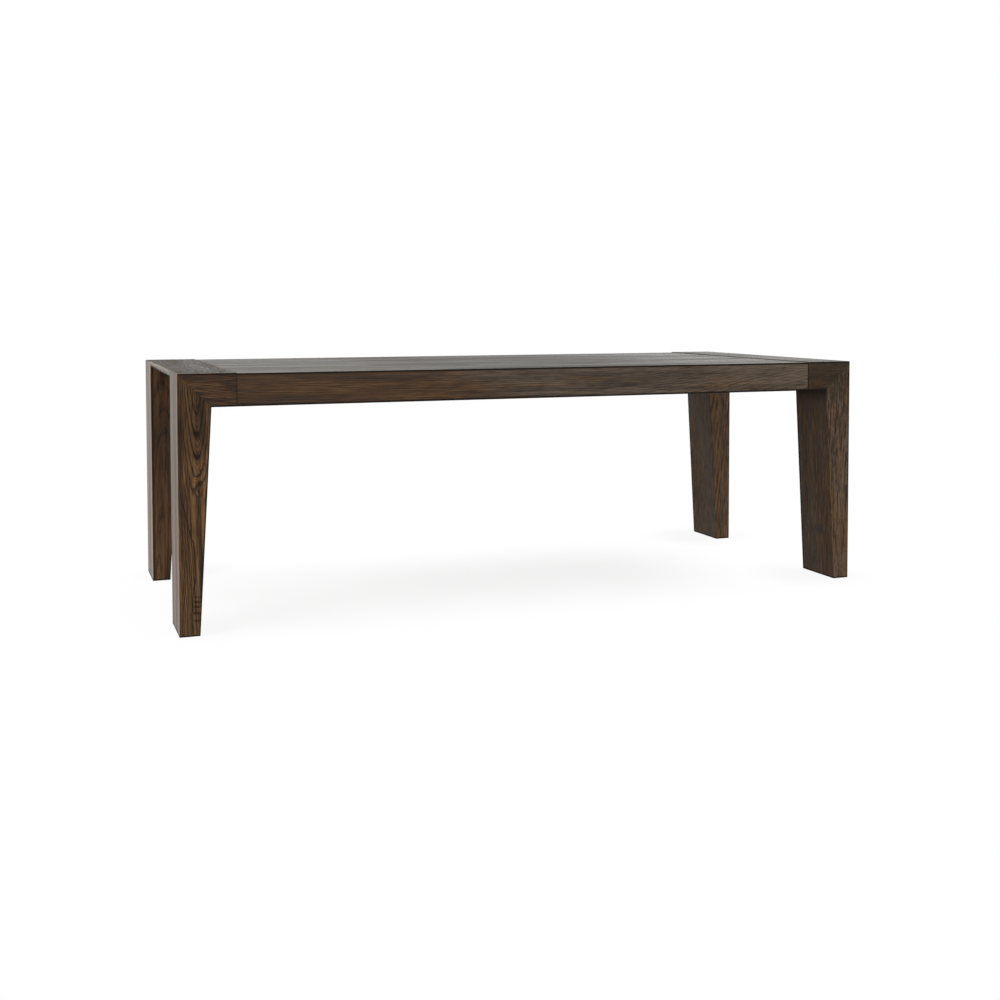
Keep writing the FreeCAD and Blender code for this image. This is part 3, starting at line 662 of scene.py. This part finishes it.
class LegsOperator(bpy.types.Operator):
    """Gives the four legs their smoked oak, one log to a leg"""

    bl_idname = "table.dress_legs"
    bl_label = "Dress Legs"

    def execute(self, context):
        boards = {
            "left_front": Board("Z", (-1.088, -0.462), 0.40, (-0.04, 0.0), (0.03, -0.11), ring=0.0105, closing=10,
                                figure=1.12, contrast=1.35, warmth=0.72, tone=1.72, tint=(0.98, 1.02, 1.0),
                                paling=(-0.05, 0.4), dull=0.05, knots=((-1.084, 0.442, 0.035, 0.004),), seed=3),
            "right_front": Board("Z", (1.30, -0.20), 0.5, (0.03, 0.02), ring=0.006, figure=0.55, contrast=1.2,
                                 streak=0.3, mottle=0.9, warmth=0.52, tone=0.95, paling=(-0.9, 0.5), flecks=1.0,
                                 seed=5),
            "left_rear": Board("Z", (-1.098, 0.352), 0.46, (0.06, 0.05), (-0.10, 0.05), ring=0.0085, wave=0.014,
                               figure=0.62, contrast=1.25, warmth=0.70, tone=0.82, dull=-0.01, seed=8),
            "right_rear": Board("Z", (1.02, 0.46), 0.5, (0.03, -0.06), ring=0.007, figure=0.8, contrast=1.1,
                                streak=0.35, mottle=0.8, warmth=0.53, tone=1.62, seed=11),
        }
        for corner, board in boards.items():
            marks = left_front_leg_marks if corner == "left_front" else leg_marks
            paint(oak(corner + "_leg_oak", board, marks),
                  [f"{corner}_leg_{face}_panel" for face in ("outer", "inner", "outward", "inward")])
        # Walls sawn from a board of their own; the inner walls of the right legs are also toned darker, as painted
        # shade
        walls = {
            "left_front_leg_outer": Board("Z", (-1.088, -0.462), 0.40, (-0.04, 0.0), ring=0.0105, contrast=1.25,
                                          dull=0.05, seed=3),
            "right_front_leg_inner": Board("Z", (1.20, -0.75), 0.5, (0.02, 0.03), ring=0.006, streak=0.6, mottle=1.6,
                                           warmth=0.62, tone=0.80, dull=0.14, seed=6),
            "right_rear_leg_inner": Board("Z", (1.22, 0.05), 0.5, (0.02, 0.03), ring=0.006, streak=0.5, mottle=1.5,
                                          warmth=0.48, tone=1.22, dull=0.14, seed=12),
        }
        for wall, board in walls.items():
            paint(oak(wall + "_oak", board, leg_marks), [wall + "_panel"])
        return {"FINISHED"}


class ArmsOperator(bpy.types.Operator):
    """Gives the mitred corner arms their smoked oak"""

    bl_idname = "table.dress_arms"
    bl_label = "Dress Corner Arms"

    def execute(self, context):
        boards = {
            "left_front": Board("X", (0.655, -0.470), -1.05, (-0.10, 0.06), ring=0.0062, figure=1.3, contrast=1.35,
                                mottle=0.7, warmth=0.84, tone=0.72, tint=(1.0, 0.94, 0.85), seed=14),
            "right_front": Board("X", (0.64, -0.45), 1.05, (0.18, 0.05), ring=0.006, mottle=0.6, warmth=0.72, tone=0.44,
                                 flecks=0.6, seed=17),
            "left_rear": Board("X", (0.70, 0.45), -1.05, (0.05, -0.1), seed=20),
            "right_rear": Board("X", (0.69, 0.44), 1.05, (-0.1, -0.1), seed=23),
        }
        for corner, board in boards.items():
            paint(oak(corner + "_arm_oak", board, arm_marks), [corner + "_corner_arm"])
        return {"FINISHED"}


class ApronsOperator(bpy.types.Operator):
    """Gives the front and rear aprons their smoked oak"""

    bl_idname = "table.dress_aprons"
    bl_label = "Dress Aprons"

    def execute(self, context):
        front = Board("X", (0.60, -0.40), 0.35, (0.02, 0.03), (0.07, -0.10), ring=0.006, wave=0.030, figure=0.8,
                      mottle=0.55, warmth=0.42, cooling=0.34, tone=1.15, paling=(0.80, -0.25), seed=26)
        rear = Board("X", (0.62, 0.41), 0.0, (-0.02, 0.03), ring=0.0065, wave=0.026, figure=0.6, mottle=0.8,
                     warmth=0.45, tone=1.1, seed=29)
        paint(oak("front_apron_oak", front, apron_marks), ["front_apron"])
        paint(oak("rear_apron_oak", rear, apron_marks), ["rear_apron"])
        return {"FINISHED"}


class TopOperator(bpy.types.Operator):
    """Gives the long middle of the top its smoked oak, with the grain along the table"""

    bl_idname = "table.dress_top"
    bl_label = "Dress Top"

    def execute(self, context):
        board = Board("X", (0.30, 0.15), 0.0, (0.0, 0.02), ring=0.008, wave=0.03, mottle=0.7, warmth=0.26,
                      tint=(0.93, 1.03, 0.92), dull=-0.05, dulling=-0.045, seed=32)
        paint(oak("top_oak", board, top_marks), ["top_panel"])
        return {"FINISHED"}


class EndBoardsOperator(bpy.types.Operator):
    """Gives the end boards their smoked oak, with the grain across the table"""

    bl_idname = "table.dress_end_boards"
    bl_label = "Dress End Boards"

    def execute(self, context):
        for side, sign, mottle, dull, seed in (("left", -1, 1.9, 0.09, 35), ("right", 1, 0.5, -0.04, 38)):
            board = Board("Y", (sign * 1.02, 0.68), 0.0, (0.03, 0.03), ring=0.006, wave=0.012, mottle=mottle,
                          warmth=0.30, tint=(0.93, 1.03, 0.92), dull=dull, seed=seed)
            paint(oak(side + "_end_board_oak", board, end_board_marks), [side + "_end_board"])
        return {"FINISHED"}


class InnerFrameOperator(bpy.types.Operator):
    """Stains the end rails, and gives the rest of the frame under the top its plain wood and its beech"""

    bl_idname = "table.dress_inner_frame"
    bl_label = "Dress Inner Frame"

    def execute(self, context):
        cross = plain_wood("cross_frame_wood", Board("Y", (0.2, 0.45), 0.0, (0.02, 0.03), ring=0.005, seed=41))
        paint(cross, [f"{side}_{piece}" for side in SIDES for piece in ("middle_rail", "inner_bearer", "outer_bearer")])
        rail = Board("Y", (0.60, 0.60), 0.0, (0.02, 0.03), ring=0.006, warmth=0.55, dull=0.12, seed=53)
        paint(oak("end_rail_oak", rail), [side + "_end_rail" for side in SIDES])
        upright = plain_wood("leg_block_wood", Board("Z", (0.9, 0.2), 0.0, (0.03, 0.02), ring=0.004, seed=44))
        paint(upright, [f"{corner}_leg_{piece}_block" for corner in CORNERS for piece in ("head", "foot")])
        lengthwise = plain_wood("glue_block_wood", Board("X", (0.5, 0.2), 0.0, (0.03, 0.02), ring=0.004, seed=47))
        paint(lengthwise, ["glue_blocks"])
        paint(beech("joint_beech", Board("X", (0.5, 0.2), 0.0, (0.02, 0.02), ring=0.003, seed=50)),
              ["dowels", "mitre_splines"])
        return {"FINISHED"}


class LevellersOperator(bpy.types.Operator):
    """Models the stems and pads of the levelling feet, and gives them and their inserts their metal and nylon"""

    bl_idname = "table.dress_levellers"
    bl_label = "Dress Levelling Feet"

    def execute(self, context):
        shades = context.scene.table_fittings
        self.stems(shades, metal("stem_zinc", shades.zinc, shades.zinc_shade, 0.24))
        self.pads(nylon("pad_nylon"))
        paint(metal("insert_brass", shades.brass, shades.brass_shade, 0.22), ["leveller_inserts"])
        return {"FINISHED"}

    def stems(self, shades, zinc):
        low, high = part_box("left_front_leveller_stem")
        length, across = high.z - low.z, max(high.x - low.x, high.y - low.y) / 2
        turn = math.pi / 6 if high.x - low.x > high.y - low.y else 0.0
        collar_foot, collar_head, collar_chamfer, collar_share = 0.003, 0.0065, 0.0005, 0.94
        spigot, spigot_end, spigot_chamfer, shoulder = 0.0025, 0.0021, 0.0004, collar_foot + 0.001
        crest, tip, tip_end, sunk = 0.004, length - 0.0012, 0.0026, 0.00004
        root = crest - shades.thread_depth
        core = turned([(0, spigot_end), (spigot_chamfer, spigot), (shoulder, spigot), (shoulder, root), (tip, root),
                       (length, tip_end)], 32)
        ridge = thread(collar_head, tip, root - sunk, crest, shades.pitch)
        nut = turned([(collar_foot, across * collar_share), (collar_foot + collar_chamfer, across),
                      (collar_head - collar_chamfer, across), (collar_head, across * collar_share)], 6, turn)
        pattern = joined("stem_pattern", [core, ridge, nut], zinc)
        for corner in CORNERS:
            stem = copied(corner + "_threaded_stem", pattern, foot_of(corner + "_leveller_stem"))
            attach(stem, corner + "_stem")
            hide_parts(corner + "_leveller_stem")
        bpy.data.objects.remove(pattern)

    def pads(self, moulded):
        low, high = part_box("left_front_leveller_pad")
        height, radius = high.z - low.z, (high.x - low.x) / 2
        socket, socket_depth = 0.00255, 0.0035
        ring = [(0.0009, radius * 0.46), (0.0007, radius * 0.54), (0, radius * 0.60), (0, radius * 0.84)]
        rim = [(0.0003, radius * 0.93), (0.0012, radius), (height - 0.0009, radius), (height - 0.0002, radius * 0.95)]
        top = [(height, radius * 0.88), (height, socket), (height - socket_depth, socket)]
        pattern = joined("pad_pattern", [turned(ring + rim + top, 48)], moulded)
        for corner in CORNERS:
            pad = copied(corner + "_moulded_pad", pattern, foot_of(corner + "_leveller_pad"))
            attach(pad, corner + "_pad")
            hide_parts(corner + "_leveller_pad")
        bpy.data.objects.remove(pattern)


class ScrewsOperator(bpy.types.Operator):
    """Models the screws that hold the top from below, each with its cross recess"""

    bl_idname = "table.dress_screws"
    bl_label = "Dress Screws"

    def execute(self, context):
        shades = context.scene.table_fittings
        zinc = metal("screw_zinc", shades.zinc, shades.zinc_shade, 0.24)
        places, length = screw_places()
        head, head_height, recess_depth = 0.0045, 0.0032, 0.0017
        shank, taper, point = 0.00225, 0.008, 0.0004
        dome = [(0, 0.0034), (0.0003, 0.0040), (0.0010, head), (head_height, head)]
        pattern = turned(dome + [(head_height, shank), (length - taper, shank), (length, point)], 20)
        for turn in (0, math.pi / 2):
            bpy.ops.object.select_all(action="DESELECT")
            bpy.ops.mesh.primitive_cube_add(size=1, location=(0, 0, 0), rotation=(0, 0, turn))
            cutter = bpy.context.object
            cutter.scale = (shades.recess_length, shades.recess_width, recess_depth * 2)
            bpy.ops.object.transform_apply(location=True, rotation=True, scale=True)
            choose(pattern)
            recess = pattern.modifiers.new("recess", "BOOLEAN")
            recess.operation, recess.solver, recess.object = "DIFFERENCE", "EXACT", cutter
            bpy.ops.object.modifier_apply(modifier=recess.name)
            bpy.data.objects.remove(cutter)
        screws = joined("top_screw_set", [copied("top_screw", pattern, place) for place in places], zinc)
        bpy.data.objects.remove(pattern)
        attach(screws, "table")
        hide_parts("top_screws")
        return {"FINISHED"}


class BoltsOperator(bpy.types.Operator):
    """Gives the bolts, nuts and washers between the end frames and the middle their black plating"""

    bl_idname = "table.dress_bolts"
    bl_label = "Dress Bolts"

    def execute(self, context):
        shades = context.scene.table_fittings
        plating = metal("black_zinc", shades.black, shades.black_shade, 0.30)
        paint(plating, ["joint_bolts", "joint_nuts", "joint_washers"])
        return {"FINISHED"}


class StudioOperator(bpy.types.Operator):
    """Sets the camera, the soft lights, the white room and the floor"""

    bl_idname = "table.set_studio"
    bl_label = "Set Studio"

    def execute(self, context):
        studio = context.scene.table_studio
        context.scene.view_settings.view_transform = "Standard"
        self.camera(context, studio)
        self.lamp(context, "key_light", (-5.6, -0.6, 3.0), (-0.6, 0, 0.4), (6.0, 4.6), studio.key)
        self.lamp(context, "fill_light", (0.4, -6.4, 2.0), (0.2, 0, 0.45), (9.0, 4.0), studio.fill)
        self.lamp(context, "back_light", (3.6, 5.6, 2.4), (0.2, 0, 0.5), (5.0, 3.2), studio.back, False)
        self.room(context, studio)
        self.floor(studio)
        return {"FINISHED"}

    def camera(self, context, studio):
        lens = bpy.data.cameras.new("photo_camera")
        lens.sensor_width, lens.lens = 36, studio.lens
        lens.shift_x, lens.shift_y = studio.shift
        lens.clip_end = 200
        camera = bpy.data.objects.new("photo_camera", lens)
        camera.location, camera.rotation_euler = studio.place, studio.turn
        context.scene.collection.objects.link(camera)
        context.scene.camera = camera

    def lamp(self, context, name, place, aim, size, power, gloss=True):
        light = bpy.data.lights.new(name, "AREA")
        light.shape, light.size, light.size_y, light.energy = "RECTANGLE", *size, power
        lamp = bpy.data.objects.new(name, light)
        lamp.location, lamp.visible_glossy = place, gloss
        lamp.rotation_euler = (Vector(aim) - Vector(place)).to_track_quat("-Z", "Y").to_euler()
        context.scene.collection.objects.link(lamp)

    def seen(self, bench):
        """1 where a ray comes from the camera, a reflection or glass."""
        return strongest(*(bench.node("ShaderNodeLightPath", None, None, ray)
                           for ray in ("Is Camera Ray", "Is Glossy Ray", "Is Transmission Ray")))

    def room(self, context, studio):
        world = bpy.data.worlds.new("white_room")
        bench = Bench(world)
        lighting = bench.node("ShaderNodeBackground", None, {"Color": (1, 1, 1), "Strength": studio.sky})
        white = bench.node("ShaderNodeBackground", None, {"Color": (1, 1, 1), "Strength": 1.0})
        mixed = bench.node("ShaderNodeMixShader", None, {0: self.seen(bench), 1: lighting, 2: white})
        bench.node("ShaderNodeOutputWorld", None, {"Surface": mixed})
        context.scene.world = world

    def floor(self, studio):
        width, drop = 120, 0.0005
        bpy.ops.object.select_all(action="DESELECT")
        bpy.ops.mesh.primitive_plane_add(size=width, location=(0, 0, -drop))
        plane = bpy.context.object
        plane.name = "studio_floor"
        bpy.ops.object.transform_apply(location=True, rotation=True, scale=True)
        bench = Bench(bpy.data.materials.new("pale_floor"))
        x, y, z = bench.place()
        cloud = bench.noise(bench.point(x, y, z), 2.0, scale=0.7)
        tint = bench.mix(cloud * 0.3, list(studio.floor), [part * 0.97 for part in studio.floor])
        matt = bench.node("ShaderNodeBsdfDiffuse", None, {"Color": tint})
        white = bench.node("ShaderNodeEmission", None, {"Color": (1, 1, 1), "Strength": 1.0})
        side, front = abs(x) - (HALF_LENGTH - FOOT_WIDTH - 0.05), abs(y) - (HALF_DEPTH - LEG_DEPTH / 2)
        # Painted shadow: under the table and round the feet the floor gives more of its share to the matt part, which
        # shows the cast shadow and is a little darker even where lit.
        near = (side * side + front * front).root().fall(0.04, 0.28) * 0.5
        painted_floor_shadow = (abs(x + 0.22).fall(0.55, 1.20) * abs(y + 0.10).fall(0.05, 0.65)).most(near)
        lit = bench.node("ShaderNodeMixShader", None, {0: self.seen(bench) * (1 - painted_floor_shadow * 0.21), 1: matt, 2: white})
        under = bench.node("ShaderNodeNewGeometry", None, None, "Backfacing")
        clear = bench.node("ShaderNodeBsdfTransparent")
        both = bench.node("ShaderNodeMixShader", None, {0: under, 1: lit, 2: clear})
        bench.node("ShaderNodeOutputMaterial", None, {"Surface": both})
        plane.data.materials.append(bench.owner)


OPERATORS = (LegsOperator, ArmsOperator, ApronsOperator, TopOperator, EndBoardsOperator, InnerFrameOperator,
             LevellersOperator, ScrewsOperator, BoltsOperator, StudioOperator)


class TablePanel(bpy.types.Panel):
    """Lists the steps that dress the table"""

    bl_idname = "VIEW3D_PT_dark_oak_table"
    bl_label = "Dark Oak Dining Table"
    bl_space_type = "VIEW_3D"
    bl_region_type = "UI"
    bl_category = "Table"

    def draw(self, context):
        column = self.layout.column()
        for operator in OPERATORS:
            column.operator(operator.bl_idname)
        for group in (context.scene.table_oak, context.scene.table_hidden_wood, context.scene.table_fittings,
                      context.scene.table_studio):
            box = column.box()
            for name in group.__annotations__:
                box.prop(group, name)


SETTINGS = {"table_oak": OakSettings, "table_hidden_wood": HiddenWoodSettings, "table_fittings": FittingSettings,
            "table_studio": StudioSettings}


def register():
    for name, group in SETTINGS.items():
        bpy.utils.register_class(group)
        setattr(bpy.types.Scene, name, bpy.props.PointerProperty(type=group))
    for made in (*OPERATORS, TablePanel):
        bpy.utils.register_class(made)


def unregister():
    for made in reversed((*OPERATORS, TablePanel)):
        bpy.utils.unregister_class(made)
    for name, group in reversed(SETTINGS.items()):
        delattr(bpy.types.Scene, name)
        bpy.utils.unregister_class(group)


def main():
    register()
    bpy.ops.table.dress_legs()
    bpy.ops.table.dress_arms()
    bpy.ops.table.dress_aprons()
    bpy.ops.table.dress_top()
    bpy.ops.table.dress_end_boards()
    bpy.ops.table.dress_inner_frame()
    bpy.ops.table.dress_levellers()
    bpy.ops.table.dress_screws()
    bpy.ops.table.dress_bolts()
    bpy.ops.table.set_studio()


if __name__ == "__main__":
    main()
